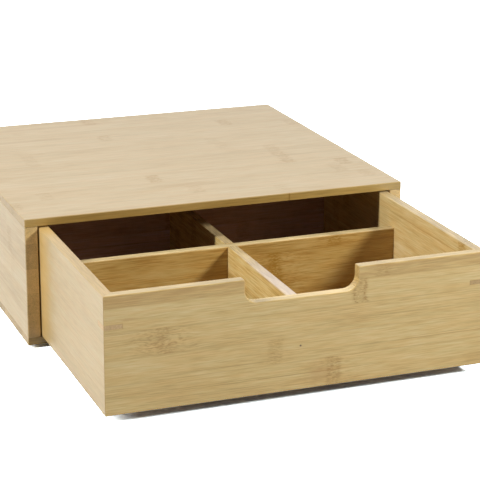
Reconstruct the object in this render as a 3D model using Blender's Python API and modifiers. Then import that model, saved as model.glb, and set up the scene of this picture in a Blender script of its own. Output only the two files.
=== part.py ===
"""Coffee capsule drawer: a low bamboo case with one drawer, divided into four compartments.

Metres, +Z up, the front towards -Y. The origin lies on the surface that the feet stand on,
under the middle of the space that the case and its drawn-out drawer take together.
"""

import math

import bmesh
import bpy
from mathutils import Vector

# Case
CASE_WIDTH = 0.310
CASE_DEPTH = 0.290
CASE_HEIGHT = 0.100  # over the boards, without the feet
TOP_THICKNESS = 0.006
BOTTOM_THICKNESS = 0.006
SIDE_THICKNESS = 0.010
BACK_THICKNESS = 0.006
BACK_LET_IN = 0.005  # how far the back board reaches into each side
TONGUE_THICKNESS = 0.004
TONGUE_HEIGHT = 0.002
TONGUE_STOP = 0.012  # the tongues end this far from the front and back, so that no joint shows

# Feet
FOOT_DIAMETER = 0.012
FOOT_HEIGHT = 0.002
FOOT_INSET = 0.014  # from the case's edges to the foot's centre

# Drawer
DRAWER_OUT = 0.166  # how far it is drawn out at rest
SIDE_CLEARANCE = 0.001
TOP_CLEARANCE = 0.0013
BOTTOM_CLEARANCE = 0.0003
REAR_CLEARANCE = 0.0006  # between the shut drawer and the case's back
WALL_THICKNESS = 0.008
PANEL_THICKNESS = 0.004
PANEL_HEIGHT = 0.005  # from the walls' lower edges to the panel's underside
PANEL_GROOVE_DEPTH = 0.004

# Dividers
DIVIDER_THICKNESS = 0.008
DIVIDER_DROP = 0.0217  # from the walls' upper edges down to the dividers' tops
HOUSING_DEPTH = 0.002  # how far a divider's end is let into the wall

# Finger notch
NOTCH_WIDTH = 0.0855
NOTCH_DEPTH = 0.0174
NOTCH_RADIUS = 0.0095

# Mitre keys, one let into each upright corner of the drawer from outside
KEY_THICKNESS = 0.003
KEY_DROP = 0.0224  # from the walls' upper edges down to the key's middle
KEY_COVER = 0.002  # wood left between the key and the drawer's inner corner

# Finish
GLUE_GAP = 0.0003  # between the faces of a glued joint
EASE = 0.0008  # radius of the sanded edges
FOOT_EASE = 0.0004
EASE_SEGMENTS = 3
NOTCH_SEGMENTS = 10  # facets in each round corner of the notch
FOOT_SIDES = 32
SHARP_EDGE = math.radians(60)  # edges that turn more than this are eased
QUARTER_TURN = math.pi / 2
OVERCUT = 0.002  # how far a cutter reaches past what it cuts
WELD = 0.00001  # points nearer than this are one point

# Sizes that follow
CASE_FRONT = (DRAWER_OUT - CASE_DEPTH) / 2
CASE_MIDDLE = CASE_FRONT + CASE_DEPTH / 2
CASE_REAR = CASE_FRONT + CASE_DEPTH
CASE_UNDERSIDE = FOOT_HEIGHT + GLUE_GAP
CASE_FLOOR = CASE_UNDERSIDE + BOTTOM_THICKNESS
CASE_TOP = CASE_UNDERSIDE + CASE_HEIGHT
CASE_CEILING = CASE_TOP - TOP_THICKNESS
DRAWER_WIDTH = CASE_WIDTH - 2 * (SIDE_THICKNESS + SIDE_CLEARANCE)
DRAWER_DEPTH = CASE_DEPTH - BACK_THICKNESS - REAR_CLEARANCE
DRAWER_HEIGHT = CASE_CEILING - CASE_FLOOR - TOP_CLEARANCE - BOTTOM_CLEARANCE
DRAWER_FRONT = CASE_FRONT - DRAWER_OUT
DRAWER_UNDERSIDE = CASE_FLOOR + BOTTOM_CLEARANCE
INNER_WIDTH = DRAWER_WIDTH - 2 * WALL_THICKNESS
INNER_DEPTH = DRAWER_DEPTH - 2 * WALL_THICKNESS
PANEL_TOP = PANEL_HEIGHT + PANEL_THICKNESS
DIVIDER_FOOT = PANEL_TOP + GLUE_GAP
DIVIDER_TOP = DRAWER_HEIGHT - DIVIDER_DROP
KEY_DEPTH = WALL_THICKNESS * math.sqrt(2) - KEY_COVER  # inwards from the drawer's outer corner
KEY_LENGTH = KEY_DEPTH * math.sqrt(2)  # along each wall
KEY_HEIGHT = DRAWER_HEIGHT - KEY_DROP

# The drawer's upright corners, each with the turn that points X and Y along its two walls
CORNERS = (
    ("front_left", (-DRAWER_WIDTH / 2, 0), 0),
    ("front_right", (DRAWER_WIDTH / 2, 0), QUARTER_TURN),
    ("rear_right", (DRAWER_WIDTH / 2, DRAWER_DEPTH), 2 * QUARTER_TURN),
    ("rear_left", (-DRAWER_WIDTH / 2, DRAWER_DEPTH), 3 * QUARTER_TURN),
)

# Colours as seen on the boards, in sRGB
PALE_BAMBOO = (0.87, 0.79, 0.65)
GOLDEN_BAMBOO = (0.79, 0.69, 0.50)
SHADED_BAMBOO = (0.72, 0.61, 0.42)
KEY_BAMBOO = (0.70, 0.59, 0.44)
FOOT_GREY = (0.25, 0.25, 0.25)
BAMBOO_ROUGHNESS = 0.5
FOOT_ROUGHNESS = 0.8


def clear_scene():
    """Removes what the file opened with."""
    for thing in list(bpy.data.objects):
        bpy.data.objects.remove(thing)


def new_collection(name):
    """A collection of its own in the scene."""
    collection = bpy.data.collections.new(name)
    bpy.context.scene.collection.children.link(collection)
    return collection


def linear(channel):
    """One sRGB channel as the linear value that a shader takes."""
    if channel <= 0.04045:
        return channel / 12.92
    return ((channel + 0.055) / 1.055) ** 2.4


def finish_as(piece, colour, roughness):
    """Gives a piece its own plain material."""
    material = bpy.data.materials.new(piece.name + "_finish")
    material.use_nodes = True
    shader = material.node_tree.nodes["Principled BSDF"]
    shader.inputs["Base Color"].default_value = [linear(c) for c in colour] + [1.0]
    shader.inputs["Roughness"].default_value = roughness
    shader.inputs["Metallic"].default_value = 0.0
    piece.data.materials.append(material)


def new_frame(name, place):
    """An empty that carries one body's pieces."""
    frame = bpy.data.objects.new(name, None)
    frame.location = place
    frame.empty_display_size = CASE_HEIGHT / 4
    PARTS.objects.link(frame)
    return frame


def box(name, size, centre, collection, parent):
    """A box of the given size about its own centre, placed in its parent's frame."""
    shape = bmesh.new()
    bmesh.ops.create_cube(shape, size=1.0)
    bmesh.ops.scale(shape, vec=size, verts=shape.verts)
    mesh = bpy.data.meshes.new(name)
    shape.to_mesh(mesh)
    shape.free()
    piece = bpy.data.objects.new(name, mesh)
    piece.location = centre
    piece.parent = parent
    collection.objects.link(piece)
    return piece


def tool(name, size, centre, parent):
    """A box that only cuts, or is joined to, other pieces."""
    piece = box(name, size, centre, CUTTERS, parent)
    piece.hide_render = True
    piece.display_type = "WIRE"
    return piece


def combine(piece, other, operation="DIFFERENCE"):
    """Cuts the other object out of a piece, or joins it on."""
    boolean = piece.modifiers.new(other.name, "BOOLEAN")
    boolean.operation = operation
    boolean.solver = "EXACT"
    boolean.object = other


def ease_edges(piece, chosen=None, radius=EASE):
    """Rounds a piece's sharp edges, or only those whose middle point is chosen."""
    bevel = piece.modifiers.new("eased edges", "BEVEL")
    bevel.width = radius
    bevel.segments = EASE_SEGMENTS
    if chosen is None:
        bevel.limit_method = "ANGLE"
        bevel.angle_limit = SHARP_EDGE
        return
    bevel.limit_method = "WEIGHT"
    weights = piece.data.attributes.new("bevel_weight_edge", "FLOAT", "EDGE")
    for edge in piece.data.edges:
        ends = [piece.data.vertices[index].co for index in edge.vertices]
        weights.data[edge.index].value = 1.0 if chosen((ends[0] + ends[1]) / 2) else 0.0


def grown(size):
    """A size with a glue gap added on every side."""
    return Vector(size) + 2 * Vector((GLUE_GAP, GLUE_GAP, GLUE_GAP))


def make_case_board(name, thickness, z_centre, outward):
    """The top or bottom board, over the whole case. Outward is +1 for the top, -1 for the bottom."""
    size = (CASE_WIDTH, CASE_DEPTH, thickness)
    board = box(name, size, (0, CASE_MIDDLE, z_centre), PARTS, case)
    finish_as(board, PALE_BAMBOO, BAMBOO_ROUGHNESS)
    # The edges that butt against the sides stay sharp
    ease_edges(board, lambda middle: middle.z * outward >= 0)
    return board


def make_case_side(name, hand):
    """An upright side board, with a tongue on its upper and lower edge."""
    height = CASE_CEILING - CASE_FLOOR - 2 * GLUE_GAP
    centre = (hand * (CASE_WIDTH - SIDE_THICKNESS) / 2, CASE_MIDDLE, (CASE_FLOOR + CASE_CEILING) / 2)
    side = box(name, (SIDE_THICKNESS, CASE_DEPTH, height), centre, PARTS, case)
    finish_as(side, PALE_BAMBOO, BAMBOO_ROUGHNESS)
    # Only the upright edges show, apart from the one that the back's rebate removes
    ease_edges(side, lambda middle: middle.z == 0 and not (middle.x * hand < 0 and middle.y > 0))
    tongue_size = (TONGUE_THICKNESS, CASE_DEPTH - 2 * TONGUE_STOP, height + 2 * (GLUE_GAP + TONGUE_HEIGHT))
    combine(side, tool(name + "_tongues", tongue_size, centre, case), "UNION")
    groove = tool(name + "_grooves", grown(tongue_size), centre, case)
    combine(case_top, groove)
    combine(case_bottom, groove)
    combine(side, back_room)


def make_case_back():
    """The back board, let into a rebate of each side and standing between top and bottom.

    The room that it needs in the sides is given back.
    """
    width = CASE_WIDTH - 2 * SIDE_THICKNESS + 2 * BACK_LET_IN
    height = CASE_CEILING - CASE_FLOOR - 2 * GLUE_GAP
    centre = (0, CASE_REAR - BACK_THICKNESS / 2, (CASE_FLOOR + CASE_CEILING) / 2)
    back = box("case_back", (width, BACK_THICKNESS, height), centre, PARTS, case)
    finish_as(back, SHADED_BAMBOO, BAMBOO_ROUGHNESS)
    # The rebate runs out at the rear and at both ends of the side
    room_size = (width + 2 * GLUE_GAP, BACK_THICKNESS + GLUE_GAP + OVERCUT, CASE_HEIGHT)
    room_y = CASE_REAR - BACK_THICKNESS - GLUE_GAP + room_size[1] / 2
    return tool("case_back_rebates", room_size, (0, room_y, centre[2]), case)


def make_foot(name, hand, y):
    """A thin round anti-slip pad under one corner."""
    bpy.ops.mesh.primitive_cylinder_add(vertices=FOOT_SIDES, radius=FOOT_DIAMETER / 2, depth=FOOT_HEIGHT)
    foot = bpy.context.object
    for collection in list(foot.users_collection):
        collection.objects.unlink(foot)
    PARTS.objects.link(foot)
    foot.name = name
    foot.data.name = name
    foot.data.shade_smooth()
    foot.data.set_sharp_from_angle(angle=SHARP_EDGE)
    foot.location = (hand * (CASE_WIDTH / 2 - FOOT_INSET), y, FOOT_HEIGHT / 2)
    foot.parent = case
    finish_as(foot, FOOT_GREY, FOOT_ROUGHNESS)
    ease_edges(foot, radius=FOOT_EASE)


def make_wall(name, length, face, turn, colour, notched=False):
    """A drawer wall with mitred ends, standing with its outer side on the drawer's outline.

    Face is the middle of its outer side in the drawer's frame, and turn is its angle about Z:
    unturned, the outer side looks towards -Y.
    """
    facing = Vector((math.sin(turn), -math.cos(turn), 0))
    along = Vector((math.cos(turn), math.sin(turn), 0))
    up_to_middle = Vector((0, 0, DRAWER_HEIGHT / 2))
    middle = Vector(face) - facing * WALL_THICKNESS / 2 + up_to_middle
    wall = box(name, (length, WALL_THICKNESS, DRAWER_HEIGHT), middle, PARTS, drawer)
    wall.rotation_euler.z = turn
    finish_as(wall, colour, BAMBOO_ROUGHNESS)
    if notched:
        combine(wall, make_notch_tool(middle.y))
    ease_edges(wall)
    # A block turned 45 degrees cuts each mitre, half a glue gap short of the corner's diagonal
    block = 3 * WALL_THICKNESS
    for end in (-1, 1):
        corner = Vector(face) + along * end * length / 2 + up_to_middle
        away = (along * end - facing).normalized()
        centre = corner + away * (block - GLUE_GAP) / 2
        cutter_name = name + ("_first_mitre" if end < 0 else "_second_mitre")
        cutter = tool(cutter_name, (block, block, DRAWER_HEIGHT + 2 * OVERCUT), centre, drawer)
        cutter.rotation_euler.z = QUARTER_TURN / 2
        combine(wall, cutter)
    for cutter in (*corner_tools.values(), *kerfs, panel_room):
        combine(wall, cutter)
    return wall


def make_notch_tool(y_middle):
    """The finger notch as a flat outline with two round lower corners, thick enough to pass the wall."""
    radius = min(NOTCH_RADIUS, NOTCH_DEPTH, NOTCH_WIDTH / 2)
    floor = DRAWER_HEIGHT - NOTCH_DEPTH
    top = DRAWER_HEIGHT + OVERCUT
    outline = [(NOTCH_WIDTH / 2, top), (-NOTCH_WIDTH / 2, top)]
    for hand, start in ((-1, math.pi), (1, 1.5 * math.pi)):
        x_centre = hand * (NOTCH_WIDTH / 2 - radius)
        for step in range(NOTCH_SEGMENTS + 1):
            angle = start + math.pi / 2 * step / NOTCH_SEGMENTS
            outline.append((x_centre + radius * math.cos(angle), floor + radius * (1 + math.sin(angle))))
    notch = thick_outline("finger_notch", outline, WALL_THICKNESS + 2 * OVERCUT, CUTTERS)
    notch.location = (0, y_middle, 0)
    notch.rotation_euler.x = QUARTER_TURN
    notch.hide_render = True
    notch.display_type = "WIRE"
    return notch


def thick_outline(name, outline, thickness, collection):
    """A closed mesh of the given thickness, from a flat outline in its own XY plane."""
    curve = bpy.data.curves.new(name + "_outline", "CURVE")
    curve.dimensions = "2D"
    curve.fill_mode = "BOTH"
    curve.extrude = thickness / 2
    spline = curve.splines.new("POLY")
    spline.points.add(len(outline) - 1)
    for point, (x, y) in zip(spline.points, outline):
        point.co = (x, y, 0, 1)
    spline.use_cyclic_u = True
    drawn = bpy.data.objects.new(curve.name, curve)
    CUTTERS.objects.link(drawn)
    bpy.context.view_layer.update()
    seen = drawn.evaluated_get(bpy.context.evaluated_depsgraph_get())
    mesh = bpy.data.meshes.new_from_object(seen)
    bpy.data.objects.remove(drawn)
    shape = bmesh.new()
    shape.from_mesh(mesh)
    bmesh.ops.remove_doubles(shape, verts=shape.verts, dist=WELD)
    bmesh.ops.recalc_face_normals(shape, faces=shape.faces)
    shape.to_mesh(mesh)
    shape.free()
    solid = bpy.data.objects.new(name, mesh)
    solid.parent = drawer
    collection.objects.link(solid)
    return solid


def corner_tool(name, corner, middle, depth, width, height):
    """A block turned 45 degrees that takes the drawer's upright corner away down to a depth."""
    outwards = Vector((math.copysign(1, corner[0]), math.copysign(1, corner[1] - DRAWER_DEPTH / 2), 0))
    centre = Vector((*corner, middle)) + outwards.normalized() * (width / 2 - depth)
    cutter = tool(name, (width, width, height), centre, drawer)
    cutter.rotation_euler.z = QUARTER_TURN / 2
    return cutter


def make_corner_tools():
    """The blocks that ease the drawer's four upright corners across their mitres."""
    # A round edge of the same radius would lie this far in from the sharp corner
    depth = EASE * (math.sqrt(2) - 1)
    height = DRAWER_HEIGHT + 2 * OVERCUT
    tools = {}
    for name, corner, _ in CORNERS:
        tools[name] = corner_tool("ease_" + name, corner, DRAWER_HEIGHT / 2, depth, WALL_THICKNESS, height)
    return tools


def make_mitre_keys():
    """A flat three-cornered key across each mitre, flush with both walls, and the kerfs for them."""
    outline = [(0, 0), (KEY_LENGTH, 0), (0, KEY_LENGTH)]
    kerf_height = KEY_THICKNESS + 2 * GLUE_GAP
    kerf_width = 2 * KEY_LENGTH
    cutters = []
    for name, corner, turn in CORNERS:
        key = thick_outline("mitre_key_" + name, outline, KEY_THICKNESS, PARTS)
        key.location = (*corner, KEY_HEIGHT)
        key.rotation_euler.z = turn
        finish_as(key, KEY_BAMBOO, BAMBOO_ROUGHNESS)
        combine(key, corner_tools[name])
        kerf_depth = KEY_DEPTH + GLUE_GAP
        cutters.append(corner_tool("kerf_" + name, corner, KEY_HEIGHT, kerf_depth, kerf_width, kerf_height))
    return cutters


def make_panel():
    """The thin panel that the capsules stand on, and the groove that it needs in the four walls."""
    let_in = PANEL_GROOVE_DEPTH - GLUE_GAP
    size = (INNER_WIDTH + 2 * let_in, INNER_DEPTH + 2 * let_in, PANEL_THICKNESS)
    centre = (0, DRAWER_DEPTH / 2, PANEL_HEIGHT + PANEL_THICKNESS / 2)
    panel = box("drawer_bottom", size, centre, PARTS, drawer)
    finish_as(panel, GOLDEN_BAMBOO, BAMBOO_ROUGHNESS)
    return tool("panel_groove", grown(size), centre, drawer)


def make_divider(name, size, walls):
    """A divider with both ends let into the walls, and the housings that it needs."""
    centre = (0, DRAWER_DEPTH / 2, (DIVIDER_FOOT + DIVIDER_TOP) / 2)
    divider = box(name, size, centre, PARTS, drawer)
    finish_as(divider, GOLDEN_BAMBOO, BAMBOO_ROUGHNESS)
    ease_edges(divider, lambda middle: middle.z > 0)
    housing = tool(name + "_housings", grown(size), centre, drawer)
    for wall in walls:
        combine(wall, housing)
    return divider


def halve(divider, other_size, from_below):
    """Cuts half of a divider's height away where the other one crosses it."""
    height = (DIVIDER_TOP - DIVIDER_FOOT + GLUE_GAP) / 2 + OVERCUT
    offset = (height - GLUE_GAP) / 2
    z_centre = (DIVIDER_FOOT + DIVIDER_TOP) / 2 + (-offset if from_below else offset)
    size = (other_size[0] + 2 * GLUE_GAP, other_size[1] + 2 * GLUE_GAP, height)
    combine(divider, tool(divider.name + "_halving", size, (0, DRAWER_DEPTH / 2, z_centre), drawer))


clear_scene()
PARTS = new_collection("coffee_capsule_drawer")
CUTTERS = new_collection("cutters")
case = new_frame("case", (0, 0, 0))
drawer = new_frame("drawer", (0, DRAWER_FRONT, DRAWER_UNDERSIDE))

case_top = make_case_board("case_top", TOP_THICKNESS, CASE_TOP - TOP_THICKNESS / 2, 1)
case_bottom = make_case_board("case_bottom", BOTTOM_THICKNESS, CASE_UNDERSIDE + BOTTOM_THICKNESS / 2, -1)
back_room = make_case_back()
make_case_side("case_left_side", -1)
make_case_side("case_right_side", 1)
for foot_name, foot_y in (("foot_front", CASE_FRONT + FOOT_INSET), ("foot_rear", CASE_REAR - FOOT_INSET)):
    make_foot(foot_name + "_left", -1, foot_y)
    make_foot(foot_name + "_right", 1, foot_y)

corner_tools = make_corner_tools()
kerfs = make_mitre_keys()
panel_room = make_panel()
front = make_wall("drawer_front", DRAWER_WIDTH, (0, 0, 0), 0, GOLDEN_BAMBOO, notched=True)
right_face = (DRAWER_WIDTH / 2, DRAWER_DEPTH / 2, 0)
right = make_wall("drawer_right_side", DRAWER_DEPTH, right_face, QUARTER_TURN, GOLDEN_BAMBOO)
back = make_wall("drawer_back", DRAWER_WIDTH, (0, DRAWER_DEPTH, 0), 2 * QUARTER_TURN, SHADED_BAMBOO)
left_face = (-DRAWER_WIDTH / 2, DRAWER_DEPTH / 2, 0)
left = make_wall("drawer_left_side", DRAWER_DEPTH, left_face, 3 * QUARTER_TURN, PALE_BAMBOO)

divider_height = DIVIDER_TOP - DIVIDER_FOOT
end_let_in = HOUSING_DEPTH - GLUE_GAP
length_size = (DIVIDER_THICKNESS, INNER_DEPTH + 2 * end_let_in, divider_height)
cross_size = (INNER_WIDTH + 2 * end_let_in, DIVIDER_THICKNESS, divider_height)
length_divider = make_divider("length_divider", length_size, (front, back))
cross_divider = make_divider("cross_divider", cross_size, (left, right))
halve(length_divider, cross_size, from_below=False)
halve(cross_divider, length_size, from_below=True)
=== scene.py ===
# %% [markdown]
# # A bamboo drawer for coffee capsules
# The real thing is glued up from flat-pressed bamboo: strips about 20 mm wide lie side by side, and
# the board is sawn from them, sanded and lacquered matt. The measured model comes in first, as a
# fixed frame. Its boards keep their shape, so this file gives them their grain, closes the glued
# seams between them and lights the whole.

import math
import random
from collections import namedtuple

import bmesh
import bpy
from mathutils import Matrix, Vector


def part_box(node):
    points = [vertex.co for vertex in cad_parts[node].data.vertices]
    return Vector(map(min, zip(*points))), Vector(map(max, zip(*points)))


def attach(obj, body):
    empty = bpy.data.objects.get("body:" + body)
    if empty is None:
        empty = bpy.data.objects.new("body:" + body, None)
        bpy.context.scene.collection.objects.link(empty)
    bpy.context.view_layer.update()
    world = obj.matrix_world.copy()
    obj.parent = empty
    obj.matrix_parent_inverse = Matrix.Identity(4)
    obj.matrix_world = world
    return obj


MM = 0.001


def in_mm(value):
    """Metres as millimetres, for printing."""
    return round(value / MM, 2)


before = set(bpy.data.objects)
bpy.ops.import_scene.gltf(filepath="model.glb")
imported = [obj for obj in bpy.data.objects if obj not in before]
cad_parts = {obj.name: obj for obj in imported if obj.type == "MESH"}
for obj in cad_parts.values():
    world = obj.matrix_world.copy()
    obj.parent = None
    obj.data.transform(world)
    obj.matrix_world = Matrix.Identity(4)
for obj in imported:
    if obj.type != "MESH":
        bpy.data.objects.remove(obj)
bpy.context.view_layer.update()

# %% [markdown]
# ## Camera
# The picture was taken from the left of the drawer's front, looking down on it. A long lens keeps
# the upright edges almost parallel. Place, turn and lens were worked out together from the straight
# edges of the boards. Turning the camera about its own axes, one after the other, says more than a
# matrix of nine numbers would.

# %% Set up the camera
CAMERA_PLACE = Vector((-0.45945, -1.30898, 0.48884))
LOOK_RIGHT = math.radians(20.8994)  # from straight at the drawer's front
LOOK_DOWN = math.radians(17.4955)
TILT = math.radians(0.2305)
LENS = 134.317  # mm
SENSOR_WIDTH = 36.0  # mm
SIGHT_END = 50.0  # m, far beyond the floor

camera_data = bpy.data.cameras.new("camera")
camera_data.lens = LENS
camera_data.sensor_width = SENSOR_WIDTH
camera_data.clip_end = SIGHT_END
camera = bpy.data.objects.new("camera", camera_data)
turn = (
    Matrix.Rotation(-LOOK_RIGHT, 4, "Z")
    @ Matrix.Rotation(math.pi / 2 - LOOK_DOWN, 4, "X")
    @ Matrix.Rotation(TILT, 4, "Z")
)
camera.matrix_world = Matrix.Translation(CAMERA_PLACE) @ turn
bpy.context.scene.collection.objects.link(camera)
bpy.context.scene.camera = camera
print("the camera looks along", [round(value, 3) for value in turn @ Vector((0, 0, -1))])

# %% [markdown]
# ## A hand for shader trees
# Every finish below is a tree of shader nodes. One small function adds a node, sets what it is told
# and links what it is given, so that a finish reads from top to bottom like a recipe. Colours are
# picked as a screen shows them, in sRGB, and a shader wants them linear.

# %% Helpers for finishes
FACTOR, UNDER, OVER = 0, 6, 7  # numbers of a colour Mix node's inputs, as its names are not unique


def linear(hex_colour):
    """A screen colour such as "C8AD7F", as the linear RGBA that a shader takes."""
    channels = [int(hex_colour[start:start + 2], 16) / 255 for start in (0, 2, 4)]
    # The sRGB curve is a straight line near black, and a power of 2.4 above it
    return [c / 12.92 if c <= 0.04045 else ((c + 0.055) / 1.055) ** 2.4 for c in channels] + [1.0]


def add(tree, kind, inputs=None, **settings):
    """Adds one node. Inputs are keyed by name or number, and take a value, a socket or a whole node."""
    node = tree.nodes.new("ShaderNode" + kind)
    for name, value in settings.items():
        setattr(node, name, value)
    for key, value in (inputs or {}).items():
        if isinstance(value, bpy.types.Node):
            value = next(socket for socket in value.outputs if socket.enabled)
        if isinstance(value, bpy.types.NodeSocket):
            tree.links.new(value, node.inputs[key])
        else:
            node.inputs[key].default_value = value
    return node


def new_material(name):
    """A material with an empty tree."""
    material = bpy.data.materials.new(name)
    material.use_nodes = True
    material.node_tree.nodes.clear()
    return material, material.node_tree


print("golden bamboo in linear light:", [round(value, 3) for value in linear("CBAD71")])

# %% [markdown]
# ## How a board is laminated
# A bamboo culm is a thin-walled tube, so a board is pressed from narrow strips of its wall. Each
# strip has its own tone, and a knuckle wherever the culm had one of its rings. A knuckle can be a
# plain box of dark specks, or an eye that the fibres bend round far to both sides. A list of strips
# says where the seams, tones and knuckles of one board lie. Boards that the picture shows get the
# strips that it shows.

# %% List the strips that show
# Metres: the width, the place of a knuckle, and the internode from there to the next one.
# From 0 to 1: the tone, the knuckle's strength, and how far the fibres bend round it.
USUAL_EYE = 0.15
LONE = 0.9  # an internode longer than any board, so that the strip shows one knuckle at most
Strip = namedtuple("Strip", "width tone knuckle strength eye internode", defaults=(USUAL_EYE, LONE))

# The top's strips from its front edge back, with places measured from its left edge
TOP_STRIPS = [
    Strip(0.005, 0.50, 0.100, 0.00),
    Strip(0.020, 0.52, 0.214, 0.35),
    Strip(0.020, 0.50, 0.148, 0.50, internode=0.147),
    Strip(0.020, 0.48, 0.031, 0.50, internode=0.249),
    Strip(0.020, 0.50, 0.126, 1.00, internode=0.166),
    Strip(0.020, 0.55, 0.250, 0.90),
    Strip(0.020, 0.46, 0.250, 0.65),
    Strip(0.020, 0.47, 0.252, 0.55),
    Strip(0.020, 0.53, 0.215, 0.32, internode=0.168),
    Strip(0.020, 0.47, 0.213, 0.30, internode=0.166),
    Strip(0.020, 0.50, 0.180, 0.10),
    Strip(0.020, 0.54, 0.127, 0.70, internode=0.176),
    Strip(0.020, 0.46, 0.245, 0.90),
    Strip(0.020, 0.52, 0.060, 0.15),
    Strip(0.020, 0.44, 0.130, 0.65),
    Strip(0.020, 0.50, 0.040, 0.10),
]
# The drawer's boards from their lower edge up, with places from their left end or their front
FRONT_STRIPS = [
    Strip(0.0214, 0.50, 0.168, 0.85, 0.4),
    Strip(0.0185, 0.52, 0.124, 0.45, 0.2),
    Strip(0.0192, 0.47, 0.041, 0.75, 1.0),
    Strip(0.0180, 0.57, 0.188, 0.75, 0.0),
    Strip(0.0093, 0.22, 0.206, 0.50, 0.3),
]
CROSS_STRIPS = [
    Strip(0.0093, 0.46, 0.172, 0.55),
    Strip(0.0186, 0.50, 0.175, 0.95, 0.5),
    Strip(0.0186, 0.50, 0.172, 0.95, 0.5),
    Strip(0.0089, 0.44, 0.222, 0.70, 0.3),
]
LEFT_WALL_STRIPS = [
    Strip(0.0154, 0.42, 0.235, 0.3),
    Strip(0.0185, 0.52, 0.215, 0.4),
    Strip(0.0192, 0.50, 0.270, 0.4),
    Strip(0.0240, 0.50, 0.240, 0.4),
    Strip(0.0093, 0.50, 0.200, 0.4),
]
RIGHT_WALL_STRIPS = [
    Strip(0.0184, 0.50, 0.260, 0.4),
    Strip(0.0188, 0.46, 0.240, 0.4),
    Strip(0.0190, 0.54, 0.250, 0.4),
    Strip(0.0152, 0.50, 0.230, 0.4),
    Strip(0.0150, 0.48, 0.024, 0.8, 0.2),
]
LENGTH_STRIPS = [
    Strip(0.0170, 0.50, 0.230, 0.5),
    Strip(0.0190, 0.45, 0.250, 0.5),
    Strip(0.0194, 0.50, 0.210, 0.4),
]
print("the front is pressed from", len(FRONT_STRIPS), "strips and the top from", len(TOP_STRIPS))

# %% [markdown]
# ## Strips for the other boards
# The other boards get strips sawn at random. A random generator that starts from a fixed seed draws
# the same strips on every run.

# %% Saw strips at random
SAWN_WIDTH = 0.0189  # of a usual strip
WIDTH_RANGE = (0.94, 1.06)  # times the usual width
TONE_RANGE = (0.3, 0.7)
KNUCKLE_RANGE = (0.0, 0.28)
INTERNODE_RANGE = (0.17, 0.30)
STRENGTH_RANGE = (0.25, 0.8)


def sawn_strips(total, seed):
    """Random strips that fill a board of the given width."""
    chance = random.Random(seed)
    strips = []
    filled = 0.0
    while filled < total:
        width = min(SAWN_WIDTH * chance.uniform(*WIDTH_RANGE), total - filled)
        tone = chance.uniform(*TONE_RANGE)
        knuckle = chance.uniform(*KNUCKLE_RANGE)
        internode = chance.uniform(*INTERNODE_RANGE)
        strength = chance.uniform(*STRENGTH_RANGE)
        strips.append(Strip(width, tone, knuckle, strength, internode=internode))
        filled += width
    return strips


print("a board 100 mm wide gets", len(sawn_strips(100 * MM, seed=1)), "strips")

# %% [markdown]
# ## What sets a board apart
# A board can have a slight cast over all its strips. It is partly the plank's own tone, as no two
# planks are quite alike, and partly painted light: the top and the boards on the left are paler and
# cooler for the sheen they catch, the front is brighter, and the cross divider is darker for the
# shade it stands in. Most planed long edges show the pale flank of a strip, and part of that paleness
# is painted sheen, for the light that upper edges catch, while the lying boards of the case show the
# golden one. Sawn ends are mostly browner, but the case sides' front ends are paler: painted light for
# the shade they lie in. A few boards have marks of their own too: a speck, warmer or paler patches, a
# darker flank, a butt joint between two strips. The drawer's left wall has a golden glow of painted
# light where it goes into the case's mouth. The drawer's bottom and back are painted shade, the bottom
# chocolate brown and the back pinkish. Both only show as deep shade from the front, and these colours
# make it as dark and purple as it is.

# %% List edges, casts and marks
# Edge and end colours. The pale and palest edges are partly a strip's pale flank and partly painted
# sheen, for the light that upper edges catch. END_PALE is end grain made lighter, painted light for the
# case sides' front ends, which lie in shade.
EDGE_PALE = linear("E5CA93")
EDGE_PALEST = linear("E8D09A")
EDGE_GOLDEN = linear("B5954D")
EDGE_PLAIN = linear("C6AE80")
EDGE_WARM = linear("C4A670")
END_BROWN = linear("C7A76A")
END_PALE = linear("D7B677")
END_GOLDEN = linear("A2854C")

# A cast multiplies red, green and blue in linear light
# Beside each board's own tone, the casts hold painted light: paler and cooler on the top and on the
# boards on the left for the sheen they catch, brighter on the front, and darker on the cross divider for
# the shade it stands in.
NO_CAST = (1.0, 1.0, 1.0)
TOP_CAST = (0.905, 0.963, 1.26)
SIDE_CAST = (0.885, 0.94, 1.14)  # partly painted sheen: the boards on the left are paler and cooler for the sheen their faces catch
CASE_LEFT_CAST = (0.825, 0.888, 1.11)
FRONT_CAST = (1.09, 1.10, 1.02)
RIGHT_CAST = (1.03, 1.06, 1.09)
LENGTH_CAST = (1.02, 1.03, 0.92)
PAINTED_SHADE_BROWN_CAST = (0.30, 0.20, 0.22)  # painted shade: a chocolate brown that darkens the drawer's inside
PAINTED_SHADE_AUBERGINE_CAST = (1.0, 0.95, 2.0)  # painted shade: a pinkish tint that deep shade turns aubergine
CROSS_CAST = (0.87, 0.785, 0.565)  # partly its own tone, partly painted shade: the cross divider is darker and more golden for the shade it stands in

# A mark is a soft oval: the place of its middle, its size, its colour, and how much of that shows
Mark = namedtuple("Mark", "along across length width colour share")
SPECK = linear("4A2A10")
DARK_FLANK = linear("8A6628")
WARM_PATCH = linear("B07F3E")
PAINTED_MOUTH_GLOW = linear("E2B868")
# painted light: the golden glow that the drawer's left wall shows at the case's mouth
LILAC_PATCH = linear("E0CDBE")
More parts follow.
